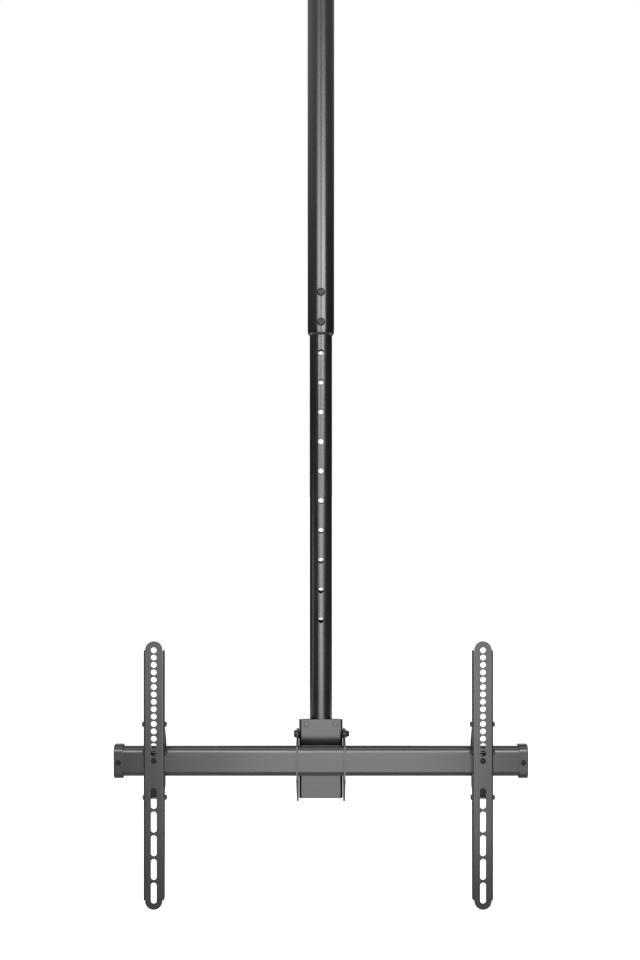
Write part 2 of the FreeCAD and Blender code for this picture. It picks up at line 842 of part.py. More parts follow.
def make_saddle():
    """A strap round the back of the pole, riveted to the channel's web."""
    body = new_body("pole_saddle")
    wall = size("saddle_wall")
    ear = channel_inner - 2
    low = channel_web_back
    high = channel_web_back + wall
    top = saddle_top
    loop = new_sketch(body, "XY", "saddle_loop", top)
    draw_circle(loop, 0, 0, inner_radius + wall)
    pad(body, loop, size("saddle_height"), back=True)
    ears = new_sketch(body, "XY", "saddle_ears", top)
    draw_rectangle(ears, -ear, low, ear, high)
    pad(body, ears, size("saddle_height"), back=True)
    legs = new_sketch(body, "XY", "saddle_legs", top)
    draw_rectangle(legs, -(inner_radius + wall), low, inner_radius + wall, 0)
    pad(body, legs, size("saddle_height"), back=True)
    room = new_sketch(body, "XY", "saddle_bore", top)
    draw_circle(room, 0, 0, inner_radius)
    cut(body, room, size("saddle_height"))
    throat = new_sketch(body, "XY", "saddle_throat", top)
    draw_rectangle(throat, -inner_radius, -(inner_radius + wall * 2), inner_radius, 0)
    cut(body, throat, size("saddle_height"))
    front = new_sketch(body, "XY", "saddle_front", top)
    draw_rectangle(front, -(inner_radius + wall * 2), -(inner_radius + wall * 3),
                   inner_radius + wall * 2, low)
    cut(body, front, size("saddle_height"))
    slope = new_sketch(body, "YZ", "saddle_slope_cut")
    draw_polygon(slope, slope_corners())
    cut_through(body, slope)
    holes = new_sketch(body, "XZ", "saddle_rivet_holes")
    for side in (-1, 1):
        draw_circle(holes, size("saddle_rivet_x") * side, saddle_rivet_z, size("rivet_diameter") / 2)
    cut_through(body, holes)


def make_rivet(label, shank, grip, head, head_height):
    """A rivet set along Z: its outer head is above Z = 0 and its inner head below the grip."""
    body = new_body(label, kept=False)
    profile = new_sketch(body, "XZ", label + "_profile")
    tail = size("rivet_tail_height")
    draw_polygon(profile, [(0, -grip - tail), (shank * 0.65, -grip - tail), (shank * 0.65, -grip),
                           (shank / 2, -grip), (shank / 2, 0), (head / 2, 0),
                           (head / 2, head_height), (0, head_height)])
    revolve(body, profile)
    round_edges(body, lambda edge: is_ring_at(edge, head / 2, head_height), head_height * 0.8,
                label + "_dome")
    return body


def make_saddle_rivets():
    members = []
    grip = size("channel_wall") + size("saddle_wall")
    for side, name in ((-1, "left"), (1, "right")):
        rivet = make_rivet(name + "_saddle_rivet", size("rivet_diameter"), grip,
                           size("rivet_head_diameter"), size("rivet_head_height"))
        bind_place(rivet, size("saddle_rivet_x") * side, channel_front, saddle_rivet_z, HEAD_FRONT)
        members.append(rivet)
    group("saddle_rivets", members)


def make_tilt_bolts():
    """The pivot bolt and the lock bolt below it, through plates, channel and pole."""
    washer_thickness = size("tilt_washer_thickness")
    seat = plate_outer + play
    length = seat * 2 + washer_thickness + size("cap_nut_hex_height")
    bore = size("tilt_bolt_diameter")
    spacers = []
    rings = []
    nut_washers = []
    for name, z in (("tilt_pivot", tilt_z), ("tilt_lock", tilt_lock_z)):
        bolt = make_screw(name + "_bolt", bore, length, size("tilt_head_diameter"),
                          size("tilt_head_height"), dim(5))
        bind_place(bolt, -seat, 0, z, HEAD_LEFT)
        nut = make_cap_nut(name + "_nut", bore, size("cap_nut_flats"), size("cap_nut_hex_height"),
                           size("cap_nut_height"))
        bind_place(nut, seat + washer_thickness, 0, z, HEAD_RIGHT)
        washer = make_washer(name + "_nut_ring", bore, size("tilt_washer_diameter"),
                             washer_thickness, kept=False)
        bind_place(washer, seat, 0, z, HEAD_RIGHT)
        nut_washers.append(washer)
        for side, turn in ((-1, HEAD_LEFT), (1, HEAD_RIGHT)):
            place = "left" if side < 0 else "right"
            spacer = make_washer("%s_%s_spacer" % (place, name), bore, size("spacer_diameter"),
                                 channel_inner - inner_radius - face_gap, kept=False)
            bind_place(spacer, (inner_radius + face_gap) * side, 0, z, turn)
            spacers.append(spacer)
            ring = make_washer("%s_%s_ring" % (place, name), bore, size("tilt_washer_diameter"),
                               size("washer_thickness") - play, kept=False)
            bind_place(ring, channel_half * side, 0, z, turn)
            rings.append(ring)
    group("tilt_nut_washers", nut_washers)
    group("pole_spacers", spacers)
    group("friction_washers", rings)


# Tilting head


def make_side_plate(label, side):
    """A plate that turns on the pivot bolt, with a window that the bar is welded into and a
    curved slot that rides on the lock bolt."""
    body = new_body(label)
    thickness = size("side_plate_thickness")
    boss = size("side_plate_boss")
    foot = channel_bottom - size("side_plate_foot")
    front = new_sketch(body, "YZ", label + "_outline")
    draw_polygon(front, [(0, tilt_z + boss), (nose_y + 4, bar_top + 9), (nose_y, bar_top + 3),
                         (nose_y, bar_bottom - 6), (-14, foot), (4, foot), (boss + 2, tilt_lock_z - 16),
                         (boss + 2, tilt_z)])
    pad(body, front, thickness)
    sharp = (foot.number, bar_bottom.number - 6)
    round_edges(body, lambda edge: runs_along(edge, AXIS_X) and min(
        abs(edge.CenterOfMass.z - level) for level in sharp) < 1e-6,
        size("side_plate_corner"), label + "_low_round")
    round_edges(body, lambda edge: runs_along(edge, AXIS_X) and abs(
        edge.CenterOfMass.z - tilt_z.number - boss.number) < 1e-6, boss * 0.9, label + "_top_round")
    window = new_sketch(body, "YZ", label + "_window")
    draw_rounded_rectangle(window, size("bar_depth") / 2, size("bar_height") / 2, size("bar_corner"),
                           bar_y, bar_z)
    cut_through(body, window)
    bore = new_sketch(body, "YZ", label + "_bore")
    draw_circle(bore, 0, tilt_z, tilt_bolt_radius + play)
    cut_through(body, bore)
    slot = new_sketch(body, "YZ", label + "_slot")
    draw_curved_slot(slot, tilt_z, size("tilt_lock_radius"), tilt_bolt_radius + size("slot_play"),
                     size("tilt_up"), size("tilt_down"))
    cut_through(body, slot)
    bind_place(body, plate_inner if side > 0 else -plate_outer)


def draw_curved_slot(sketch, pivot, reach, half_width, behind, ahead):
    """A slot curved about the pivot, from straight below it to both sides by two angles.
    Its two long sides are arcs about the pivot and its ends are round."""
    middle = FreeCAD.Vector(0, pivot.number, 0)
    up = FreeCAD.Vector(0, 0, 1)
    low = math.radians(270 - ahead.number)
    high = math.radians(270 + behind.number)
    far = reach.number + half_width.number
    near = reach.number - half_width.number
    first = sketch.GeometryCount
    sketch.addGeometry(Part.ArcOfCircle(Part.Circle(middle, up, far), low, high), False)
    sketch.addGeometry(Part.ArcOfCircle(Part.Circle(middle, up, near), low, high), False)
    ends = ((low, ahead, -1), (high, behind, 1))
    for angle, _, side in ends:
        centre = middle + FreeCAD.Vector(math.cos(angle), math.sin(angle), 0) * reach.number
        start = angle - math.pi if side < 0 else angle
        cap = Part.ArcOfCircle(Part.Circle(centre, up, half_width.number), start, start + math.pi)
        sketch.addGeometry(cap, False)
    low_cap = first + 2
    high_cap = first + 3
    joints = ((first, 1, low_cap, 2), (first + 1, 1, low_cap, 1),
              (first, 2, high_cap, 1), (first + 1, 2, high_cap, 2))
    for one, one_end, other, other_end in joints:
        sketch.addConstraint(Sketcher.Constraint("Tangent", one, one_end, other, other_end))
    sketch.addConstraint(Sketcher.Constraint("Coincident", first, 3, first + 1, 3))
    fix_point(sketch, first, 3, 0, pivot)
    fix_point(sketch, low_cap, 3, -reach * sine(ahead), pivot - reach * cosine(ahead))
    across = reach * sine(behind)
    index = sketch.addConstraint(
        Sketcher.Constraint("DistanceX", -1, 1, high_cap, 3, across.number))
    sketch.setExpression("Constraints[%d]" % index, across.text)
    fix_radius(sketch, low_cap, half_width)


def make_cross_bar():
    body = new_body("cross_bar")
    half = size("bar_length") / 2
    wall = size("bar_wall")
    section = new_sketch(body, "YZ", "bar_section")
    draw_rounded_rectangle(section, size("bar_depth") / 2, size("bar_height") / 2, size("bar_corner"),
                           bar_y, bar_z)
    draw_rounded_rectangle(section, size("bar_depth") / 2 - wall, size("bar_height") / 2 - wall,
                           size("bar_corner") - wall, bar_y, bar_z)
    pad(body, section, half * 2, both=True)
    holes = new_sketch(body, "XZ", "bar_screw_holes", -bar_y)
    for side in (-1, 1):
        draw_circle(holes, cap_screw_x * side, bar_z, size("cap_screw_diameter") / 2)
    cut_onward(body, holes, back=True)


def make_end_cap(label, side):
    """A moulded cap that sleeves over the end of the bar, with a slightly domed end."""
    body = new_body(label)
    rim = size("cap_rim")
    start = size("bar_length") / 2 - size("cap_overlap")
    shell = new_sketch(body, "YZ", label + "_shell", start)
    draw_rounded_rectangle(shell, size("bar_depth") / 2 + rim, size("bar_height") / 2 + rim,
                           size("bar_corner") + rim * 0.4, bar_y, bar_z)
    pad(body, shell, size("cap_overlap") + size("cap_end"))
    end_x = size("bar_length") / 2 + size("cap_end")
    round_edges(body, lambda edge: abs(edge.CenterOfMass.x - end_x.number) < 1e-6,
                size("cap_dome"), label + "_round")
    room = new_sketch(body, "YZ", label + "_room", start)
    draw_rounded_rectangle(room, size("bar_depth") / 2, size("bar_height") / 2, size("bar_corner"),
                           bar_y, bar_z)
    cut(body, room, size("cap_overlap"), back=True)
    hole = new_sketch(body, "XZ", label + "_screw_hole", -bar_y)
    draw_circle(hole, cap_screw_x, bar_z, size("cap_screw_diameter") / 2)
    cut_onward(body, hole, back=side > 0)
    if side < 0:
        body.Placement = FreeCAD.Placement(FreeCAD.Vector(0, 0, 0), FreeCAD.Rotation(AXIS_Z, 180))
        body.setExpression("Placement.Base.y", (bar_y * 2).text)


cap_screw_x = size("bar_length") / 2 - size("cap_screw_inset")


def make_cap_screw(label, side):
    length = size("cap_rim") + size("bar_wall") + 4
    screw = make_screw(label, size("cap_screw_diameter"), length, size("cap_screw_head_diameter"),
                       size("cap_screw_head_height"), dim(2.5))
    bind_place(screw, cap_screw_x * side, bar_front - size("cap_rim"), bar_z, HEAD_FRONT)


# Arms


def make_arm(label, x):
    """A folded channel with tongues past its flanges, pierced for a screen's screws."""
    body = new_body(label)
    wall = size("arm_wall")
    bend = size("arm_bend")
    tongue_half = arm_half - bend
    face = new_sketch(body, "XZ", label + "_face", -arm_front - wall)
    draw_slot(face, (0, arm_bottom + tongue_half), (0, arm_top - tongue_half), tongue_half)
    pad(body, face, wall)
    low = arm_bottom + size("arm_tongue")
    high = arm_top - size("arm_tongue")
    section = new_sketch(body, "XY", label + "_section", low)
    inner = arm_half - wall
    draw_polygon(section, [(-arm_half, arm_front), (arm_half, arm_front), (arm_half, arm_back),
                           (inner, arm_back), (inner, arm_web_back), (-inner, arm_web_back),
                           (-inner, arm_back), (-arm_half, arm_back)])
    pad(body, section, high - low)
    side_x = arm_half.number
    front_y = arm_front.number
    round_edges(body, lambda edge: runs_along(edge, AXIS_Z) and abs(
        abs(edge.CenterOfMass.x) - side_x) < 1e-6 and abs(edge.CenterOfMass.y - front_y) < 1e-6,
        bend, label + "_bend")
    inner_x = inner.number
    web_y = arm_web_back.number
    round_edges(body, lambda edge: runs_along(edge, AXIS_Z) and abs(
        abs(edge.CenterOfMass.x) - inner_x) < 1e-6 and abs(edge.CenterOfMass.y - web_y) < 1e-6,
        bend - wall, label + "_inner_bend")
    back_y = arm_back.number
    round_edges(body, lambda edge: runs_along(edge, AXIS_X) and abs(edge.CenterOfMass.y - back_y) < 1e-6,
                size("arm_flange_corner"), label + "_flange_corners")
    hole = new_sketch(body, "XZ", label + "_hole")
    draw_circle(hole, 0, arm_top - size("arm_hole_inset"), size("arm_hole_diameter") / 2)
    repeat(body, cut_through(body, hole), "Z_Axis", size("arm_hole_pitch"), arm_hole_count, back=True)
    slot = new_sketch(body, "XZ", label + "_slot")
    radius = size("arm_hole_diameter") / 2
    middle = arm_bottom + size("arm_slot_inset")
    reach = size("arm_slot_length") / 2 - radius
    draw_slot(slot, (0, middle - reach), (0, middle + reach), radius)
    repeat(body, cut_through(body, slot), "Z_Axis", size("arm_slot_pitch"), arm_slot_count)
    bores = new_sketch(body, "YZ", label + "_bolt_holes")
    for z in (hook_rivet_z, hook_cross_z, hook_lower_z):
        draw_circle(bores, hook_bolt_y, z, size("arm_bolt_diameter") / 2)
    cut_through(body, bores)
    bind_place(body, x)


def make_hook_bracket(label, x):
    """Two hook plates joined by a web and a tab, folded to fit inside the arm. The hooks hang
    over the back of the bar, and the tab under it carries the clamp screw."""
    body = new_body(label)
    wall = size("hook_wall")
    margin = size("hook_margin")
    finger = size("hook_finger")
    throat_front = bar_front - face_gap
    throat_back = bar_back + face_gap
    roof = bar_top + face_gap
    top = hook_rivet_z + margin
    bottom = hook_lower_z - margin
    lug_top = bar_bottom - size("hook_lug_gap")
    tab_low = tab_top - size("hook_tab_wall")
    tab_back = bar_front + size("hook_tab_reach")
    catch = bar_top - size("hook_catch")
    crest = bar_top + size("hook_rise")
    lean_y = throat_front + size("hook_lean")
    brow_y = throat_front + size("hook_brow")
    edge = arm_web_back + size("hook_setback")
    web_top = bar_z + size("hook_web_top")
    web_bottom = bar_z - size("hook_web_bottom")
    outline = new_sketch(body, "YZ", label + "_outline")
    draw_polygon(outline, [(edge, bottom), (throat_front, bottom), (tab_back, tab_low - 4),
                           (tab_back, lug_top), (throat_front, lug_top), (throat_front, roof),
                           (throat_back, roof), (throat_back, catch), (throat_back + finger, catch + 3),
                           (throat_back + finger, bar_top + 2), (lean_y, crest),
                           (brow_y, top), (edge, top)])
    pad(body, outline, hook_half * 2, both=True)
    room = new_sketch(body, "XZ", label + "_room", -edge - wall)
    inner = hook_half - wall
    draw_rectangle(room, -inner, tab_top, inner, top + 1)
    cut_onward(body, room)
    under = new_sketch(body, "XZ", label + "_under", -edge - wall)
    draw_rectangle(under, -inner, bottom - 1, inner, tab_low)
    cut_onward(body, under)
    front = new_sketch(body, "XZ", label + "_front", -throat_front)
    draw_rectangle(front, -inner, tab_low - 1, inner, tab_top + 1)
    cut(body, front, throat_front - edge - wall, back=True)
    for name, low, high in (("upper", web_top, top + 1), ("lower", bottom - 1, web_bottom)):
        open_web = new_sketch(body, "XZ", "%s_%s_opening" % (label, name), -throat_front)
        draw_rectangle(open_web, -inner, low, inner, high)
        cut_onward(body, open_web, back=True)
    fold_x = hook_half.number
    fold_y = edge.number
    round_edges(body, lambda line: runs_along(line, AXIS_Z) and abs(
        abs(line.CenterOfMass.x) - fold_x) < 1e-6 and abs(line.CenterOfMass.y - fold_y) < 1e-6,
        wall / 2, label + "_bend")
    finger_levels = (bar_top.number + 2, crest.number, catch.number, catch.number + 3, top.number)
    behind = throat_front.number - 4
    round_edges(body, lambda line: runs_along(line, AXIS_X) and line.CenterOfMass.y > behind and min(
        abs(line.CenterOfMass.z - level) for level in finger_levels) < 1e-6,
        size("hook_corner"), label + "_finger_round")
    bores = new_sketch(body, "YZ", label + "_bolt_holes")
    for z in (hook_rivet_z, hook_cross_z, hook_lower_z):
        draw_circle(bores, hook_bolt_y, z, size("arm_bolt_diameter") / 2)
    cut_through(body, bores)
    screw_hole = new_sketch(body, "XY", label + "_screw_hole", tab_top)
    draw_circle(screw_hole, 0, bar_y, size("clamp_screw_diameter") / 2)
    cut(body, screw_hole, size("hook_tab_wall"))
    bind_place(body, x)


def make_arm_fasteners(side_name, x):
    rivets = []
    grip = size("arm_wall") + size("hook_wall")
    for side, turn in ((-1, HEAD_LEFT), (1, HEAD_RIGHT)):
        name = "%s_arm_rivet_%s" % (side_name, "outer" if side < 0 else "inner")
        rivet = make_rivet(name, size("arm_bolt_diameter"), grip, size("arm_bolt_head_diameter"),
                           size("arm_rivet_head_height"))
        bind_place(rivet, x + arm_half * side, hook_bolt_y, hook_rivet_z, turn)
        rivets.append(rivet)
    group(side_name + "_arm_rivets", rivets)
    bolts = []
    nuts = []
    length = size("arm_width") + size("arm_nut_hex_height")
    for place, z in (("upper", hook_cross_z), ("lower", hook_lower_z)):
        bolt = make_screw("%s_arm_%s_bolt" % (side_name, place), size("arm_bolt_diameter"), length,
                          size("arm_bolt_head_diameter"), size("arm_bolt_head_height"), dim(3), kept=False)
        bind_place(bolt, x - arm_half, hook_bolt_y, z, HEAD_LEFT)
        bolts.append(bolt)
        nut = make_cap_nut("%s_arm_%s_nut" % (side_name, place), size("arm_bolt_diameter"),
                           size("arm_nut_flats"), size("arm_nut_hex_height"), size("arm_nut_height"),
                           kept=False)
        bind_place(nut, x + arm_half, hook_bolt_y, z, HEAD_RIGHT)
        nuts.append(nut)
    group(side_name + "_arm_bolts", bolts)
    group(side_name + "_arm_nuts", nuts)


def make_clamp_screw(side_name, x):
    """The screw that comes up through the tab and holds the arm on the bar, with its nut."""
    nut_height = size("clamp_nut_height")
    tab_low = tab_top - size("hook_tab_wall")
    length = bar_bottom - face_gap - tab_low + nut_height
    screw = make_screw(side_name + "_clamp_screw", size("clamp_screw_diameter"), length, dim(12), dim(4), dim(4))
    bind_place(screw, x, bar_y, tab_low - nut_height, HEAD_DOWN)
    nut = new_body(side_name + "_clamp_nut")
    prism = new_sketch(nut, "XY", side_name + "_clamp_prism")
    hexagon(prism, size("clamp_nut_flats"))
    draw_circle(prism, 0, 0, size("clamp_screw_diameter") / 2)
    pad(nut, prism, nut_height)
    bind_place(nut, x, bar_y, tab_low - nut_height)


make_ceiling_plate()
make_yoke()
make_pivot_bolt()
make_pole_head()
make_outer_tube()
make_end_collar()
make_lock_screws()
make_inner_tube()
make_inner_glide()
make_pole_plug()
make_head_channel()
make_saddle()
make_saddle_rivets()
make_tilt_bolts()
make_side_plate("left_side_plate", -1)
make_side_plate("right_side_plate", 1)
make_cross_bar()
for side_name, side in (("left", -1), ("right", 1)):
    make_end_cap(side_name + "_end_cap", side)
    make_cap_screw(side_name + "_cap_screw", side)
    arm_x = (size("bar_length") / 2 - size(side_name + "_arm_inset")) * side
    make_arm(side_name + "_arm", arm_x)
    make_hook_bracket(side_name + "_hook_bracket", arm_x)
    make_arm_fasteners(side_name, arm_x)
    make_clamp_screw(side_name, arm_x)

doc.recompute()

# Every object and every piece has to be sound before a file is written

for item in doc.Objects:
    if "Invalid" in item.State or "Error" in item.State:
        raise RuntimeError("%s could not be built: %s" % (item.Label, item.State))
for piece in pieces:
    if piece.Shape.isNull() or not piece.Shape.isValid():
        raise RuntimeError("%s has no sound shape" % piece.Label)

os.makedirs("parts", exist_ok=True)
for piece in pieces:
    piece.Shape.exportStep(os.path.join("parts", piece.Label + ".step"))
    print("%-24s solids %d  volume %10.1f" % (piece.Label, len(piece.Shape.Solids), piece.Shape.Volume))
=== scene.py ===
import json
import math

import bmesh
import bpy
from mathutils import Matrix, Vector

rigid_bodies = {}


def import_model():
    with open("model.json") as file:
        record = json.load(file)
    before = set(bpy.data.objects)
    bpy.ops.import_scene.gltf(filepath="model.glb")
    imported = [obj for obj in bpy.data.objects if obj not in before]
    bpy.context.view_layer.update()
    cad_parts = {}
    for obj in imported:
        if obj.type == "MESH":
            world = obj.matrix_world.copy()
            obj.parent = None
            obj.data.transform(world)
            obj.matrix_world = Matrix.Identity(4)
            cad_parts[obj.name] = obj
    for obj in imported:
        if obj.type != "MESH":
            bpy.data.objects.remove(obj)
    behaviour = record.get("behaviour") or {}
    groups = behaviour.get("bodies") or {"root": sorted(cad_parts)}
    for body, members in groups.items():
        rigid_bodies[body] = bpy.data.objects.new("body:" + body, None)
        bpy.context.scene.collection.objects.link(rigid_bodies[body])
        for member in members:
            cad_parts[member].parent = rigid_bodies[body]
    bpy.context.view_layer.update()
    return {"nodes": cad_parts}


for leftover in list(bpy.data.objects):
    bpy.data.objects.remove(leftover)
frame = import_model()
scene = bpy.context.scene
scene.view_settings.view_transform = "Standard"

# Camera: level, 1.87 m in front of the pole and 1.05 m below the ceiling.
# Its axis meets the picture 0.9 pixels right of the middle and 30 pixels above it.
CAMERA_PLACE = (0, -1.87, -1.0494)
CAMERA_REACH = 50
IMAGE_HEIGHT = 960
FOCAL_PIXELS = 1105
SENSOR_WIDTH = 36
AXIS_RIGHT_PIXELS = 0.9
AXIS_UP_PIXELS = 30

camera_data = bpy.data.cameras.new("camera")
camera_data.sensor_width = SENSOR_WIDTH
camera_data.lens = FOCAL_PIXELS * SENSOR_WIDTH / IMAGE_HEIGHT
camera_data.shift_x = -AXIS_RIGHT_PIXELS / IMAGE_HEIGHT
camera_data.shift_y = -AXIS_UP_PIXELS / IMAGE_HEIGHT
camera_data.clip_end = CAMERA_REACH
camera = bpy.data.objects.new("camera", camera_data)
camera.location = CAMERA_PLACE
camera.rotation_euler = (math.pi / 2, 0, 0)
scene.collection.objects.link(camera)
scene.camera = camera


# Shader helpers

def link(tree, output, target):
    """Joins an output socket to an input socket."""
    tree.links.new(output, target)


def add_node(tree, kind, **settings):
    """A shader node with its own settings; sockets are given by name in inputs."""
    inputs = settings.pop("inputs", {})
    made = tree.nodes.new(kind)
    for name, value in settings.items():
        setattr(made, name, value)
    for name, value in inputs.items():
        made.inputs[name].default_value = value
    return made


def maths(tree, operation, first, second):
    """A Math node whose two inputs are sockets or numbers."""
    made = add_node(tree, "ShaderNodeMath", operation=operation)
    for index, value in enumerate((first, second)):
        if isinstance(value, (int, float)):
            made.inputs[index].default_value = value
        else:
            link(tree, value, made.inputs[index])
    return made.outputs[0]


def ramp(tree, value, low, high, out_low, out_high):
    """Maps one range of a value to another."""
    made = add_node(tree, "ShaderNodeMapRange", inputs={
        "From Min": low, "From Max": high, "To Min": out_low, "To Max": out_high})
    link(tree, value, made.inputs["Value"])
    return made.outputs["Result"]


def new_group(name, inputs, outputs):
    """A shader node group with named sockets: {name: (kind, default)} in, {name: kind} out."""
    group = bpy.data.node_groups.new(name, "ShaderNodeTree")
    for socket, (kind, default) in inputs.items():
        made = group.interface.new_socket(socket, in_out="INPUT", socket_type="NodeSocket" + kind)
        made.default_value = default
    for socket, kind in outputs.items():
        group.interface.new_socket(socket, in_out="OUTPUT", socket_type="NodeSocket" + kind)
    start = group.nodes.new("NodeGroupInput")
    end = group.nodes.new("NodeGroupOutput")
    return group, start, end


def place_group(tree, group, values):
    """A group placed in a material, with its own values for the named sockets."""
    return add_node(tree, "ShaderNodeGroup", node_tree=group, inputs=values)


# Effects that several finishes share

# Two thresholds of the streaks' noise: a hair scratch fades in between them
SCRATCH_START = 0.71
SCRATCH_FULL = 0.76

# Each set of scratches: how far its pattern is turned, and how it is stretched along the three axes
SCRATCH_SETS = (
    (0.5, (700.0, 30.0, 40.0)),
    (2.1, (45.0, 650.0, 35.0)),
    (1.2, (40.0, 30.0, 620.0)),
)


def make_grain_group():
    """The orange peel of a baked coat: a fine Height, a slow Cloud of gloss, a Shade of colour."""
    group, start, end = new_group(
        "coat_grain",
        {"Cells per metre": ("Float", 900.0), "Waves per metre": ("Float", 160.0)},
        {"Height": "Float", "Cloud": "Float", "Shade": "Float"})
    place = add_node(group, "ShaderNodeTexCoord").outputs["Object"]
    cells = add_node(group, "ShaderNodeTexNoise", inputs={"Detail": 2.0, "Roughness": 0.55})
    waves = add_node(group, "ShaderNodeTexNoise", inputs={"Detail": 1.0, "Roughness": 0.4})
    cloud = add_node(group, "ShaderNodeTexNoise",
                     inputs={"Scale": 14.0, "Detail": 3.0, "Roughness": 0.6})
    for noise in (cells, waves, cloud):
        link(group, place, noise.inputs["Vector"])
    link(group, start.outputs["Cells per metre"], cells.inputs["Scale"])
    link(group, start.outputs["Waves per metre"], waves.inputs["Scale"])
    swell = maths(group, "MULTIPLY", waves.outputs["Fac"], 1.5)
    height = maths(group, "ADD", cells.outputs["Fac"], swell)
    shade = maths(group, "MULTIPLY", cells.outputs["Fac"], cloud.outputs["Fac"])
    link(group, height, end.inputs["Height"])
    link(group, cloud.outputs["Fac"], end.inputs["Cloud"])
    link(group, shade, end.inputs["Shade"])
    return group


def make_edge_group():
    """Rounds sharp edges in the light, and marks them with a mask that is 1 along an edge."""
    group, start, end = new_group(
        "soft_edges", {"Radius": ("Float", 0.0004)}, {"Normal": "Vector", "Edge": "Float"})
    rounded = add_node(group, "ShaderNodeBevel", samples=4)
    link(group, start.outputs["Radius"], rounded.inputs["Radius"])
    flat = add_node(group, "ShaderNodeNewGeometry")
    agreement = add_node(group, "ShaderNodeVectorMath", operation="DOT_PRODUCT")
    link(group, rounded.outputs["Normal"], agreement.inputs[0])
    link(group, flat.outputs["Normal"], agreement.inputs[1])
    edge = ramp(group, agreement.outputs["Value"], 0.99, 0.8, 0.0, 1.0)
    link(group, rounded.outputs["Normal"], end.inputs["Normal"])
    link(group, edge, end.inputs["Edge"])
    return group


def make_scuff_group():
    """Sparse hair scratches from handling, as a mask."""
    group, start, end = new_group(
        "handling_marks", {"Amount": ("Float", 0.5)}, {"Marks": "Float"})
    place = add_node(group, "ShaderNodeTexCoord").outputs["Object"]
    marks = None
    for turn, stretch in SCRATCH_SETS:
        mapping = add_node(group, "ShaderNodeMapping", inputs={
            "Rotation": (turn, turn * 0.7, turn * 0.4), "Scale": stretch})
        link(group, place, mapping.inputs["Vector"])
        streaks = add_node(group, "ShaderNodeTexNoise", inputs={"Scale": 1.0, "Detail": 1.0})
        link(group, mapping.outputs["Vector"], streaks.inputs["Vector"])
        scratches = ramp(group, streaks.outputs["Fac"], SCRATCH_START, SCRATCH_FULL, 0.0, 1.0)
        marks = scratches if marks is None else maths(group, "MAXIMUM", marks, scratches)
    link(group, maths(group, "MULTIPLY", marks, start.outputs["Amount"]), end.inputs["Marks"])
    return group


grain = make_grain_group()
soft_edges = make_edge_group()
handling_marks = make_scuff_group()


# How much of the lighter grey is painted along edges as a highlight, and how much shows where the
# grain is high
EDGE_PAINTED_HIGHLIGHT = 0.4
GRAIN_SHADE = 0.8
# How far the gloss clouds around a finish's roughness, and what a scratch adds
CLOUD_SMOOTHER = 0.03
CLOUD_ROUGHER = 0.04
SCRATCH_ROUGHER = 0.08
# The clear layer of a coat is a little smoother than the colour below it
CLEAR_SMOOTHNESS = 0.9
CLEAR_IOR = 1.7


def make_coating(name, dark, light, roughness, cells, depth, edge, coat, specular, marks):
    """A coated finish: two close greys, a gloss that clouds, fine grain, rounded edges and a
    painted highlight of lighter grey along them.

    cells is the grain's count per metre and depth its height in metres, edge the radius that
    edges are rounded to in the light, and marks the share of hair scratches.
    """
    material = bpy.data.materials.new(name)
    material.use_nodes = True
    tree = material.node_tree
    shader = tree.nodes["Principled BSDF"]
    texture = place_group(tree, grain, {"Cells per metre": cells})
    edges = place_group(tree, soft_edges, {"Radius": edge})
    scuffs = place_group(tree, handling_marks, {"Amount": marks})

    colour = add_node(tree, "ShaderNodeMix", data_type="RGBA")
    colour.inputs["A"].default_value = (*dark, 1)
    colour.inputs["B"].default_value = (*light, 1)
    shade = ramp(tree, texture.outputs["Shade"], 0.12, 0.4, 0.0, GRAIN_SHADE)
    # A painted highlight: the edges are mixed toward the lighter grey
    shade = maths(tree, "ADD", shade, maths(tree, "MULTIPLY", edges.outputs["Edge"], EDGE_PAINTED_HIGHLIGHT))
    shade = maths(tree, "ADD", shade, scuffs.outputs["Marks"])
    link(tree, shade, colour.inputs["Factor"])
    link(tree, colour.outputs["Result"], shader.inputs["Base Color"])

    gloss = ramp(tree, texture.outputs["Cloud"], 0.3, 0.7,
                 roughness - CLOUD_SMOOTHER, roughness + CLOUD_ROUGHER)
    rubbed = maths(tree, "MULTIPLY", scuffs.outputs["Marks"], SCRATCH_ROUGHER)
    link(tree, maths(tree, "ADD", gloss, rubbed), shader.inputs["Roughness"])

    bump = add_node(tree, "ShaderNodeBump", inputs={"Strength": 1.0, "Distance": depth})
    link(tree, texture.outputs["Height"], bump.inputs["Height"])
    link(tree, edges.outputs["Normal"], bump.inputs["Normal"])
    link(tree, bump.outputs["Normal"], shader.inputs["Normal"])

    shader.inputs["Specular IOR Level"].default_value = specular
    shader.inputs["Coat Weight"].default_value = coat
    shader.inputs["Coat Roughness"].default_value = roughness * CLEAR_SMOOTHNESS
    shader.inputs["Coat IOR"].default_value = CLEAR_IOR
    return material


pole_coat = make_coating(
    "pole_coat", dark=(0.006, 0.006, 0.0062), light=(0.011, 0.011, 0.0113), roughness=0.27,
    cells=500, depth=0.000001, edge=0.0004, coat=0.9, specular=0.9, marks=0.15)
bracket_coat = make_coating(
    "bracket_coat", dark=(0.009, 0.009, 0.0092), light=(0.018, 0.018, 0.0184), roughness=0.23,
    cells=1100, depth=0.000003, edge=0.0008, coat=0.8, specular=0.8, marks=0.2)
# A darker, duller coat: a duller finish on the ceiling pieces and cap screws, and painted shade on
# the hook brackets behind the arms' holes
dull_coat_and_painted_shade = make_coating(
    "dull_coat_and_painted_shade", dark=(0.006, 0.006, 0.0062), light=(0.012, 0.012, 0.0123), roughness=0.42,
    cells=1100, depth=0.000003, edge=0.0008, coat=0.0, specular=0.35, marks=0.2)
screw_finish = make_coating(
    "screw_finish", dark=(0.005, 0.005, 0.005), light=(0.012, 0.012, 0.012), roughness=0.22,
    cells=1600, depth=0.000008, edge=0.0002, coat=0.3, specular=0.6, marks=0.3)
moulded_black = make_coating(
    "moulded_black", dark=(0.009, 0.009, 0.009), light=(0.018, 0.018, 0.018), roughness=0.27,
    cells=900, depth=0.000012, edge=0.0005, coat=0.7, specular=0.9, marks=0.1)
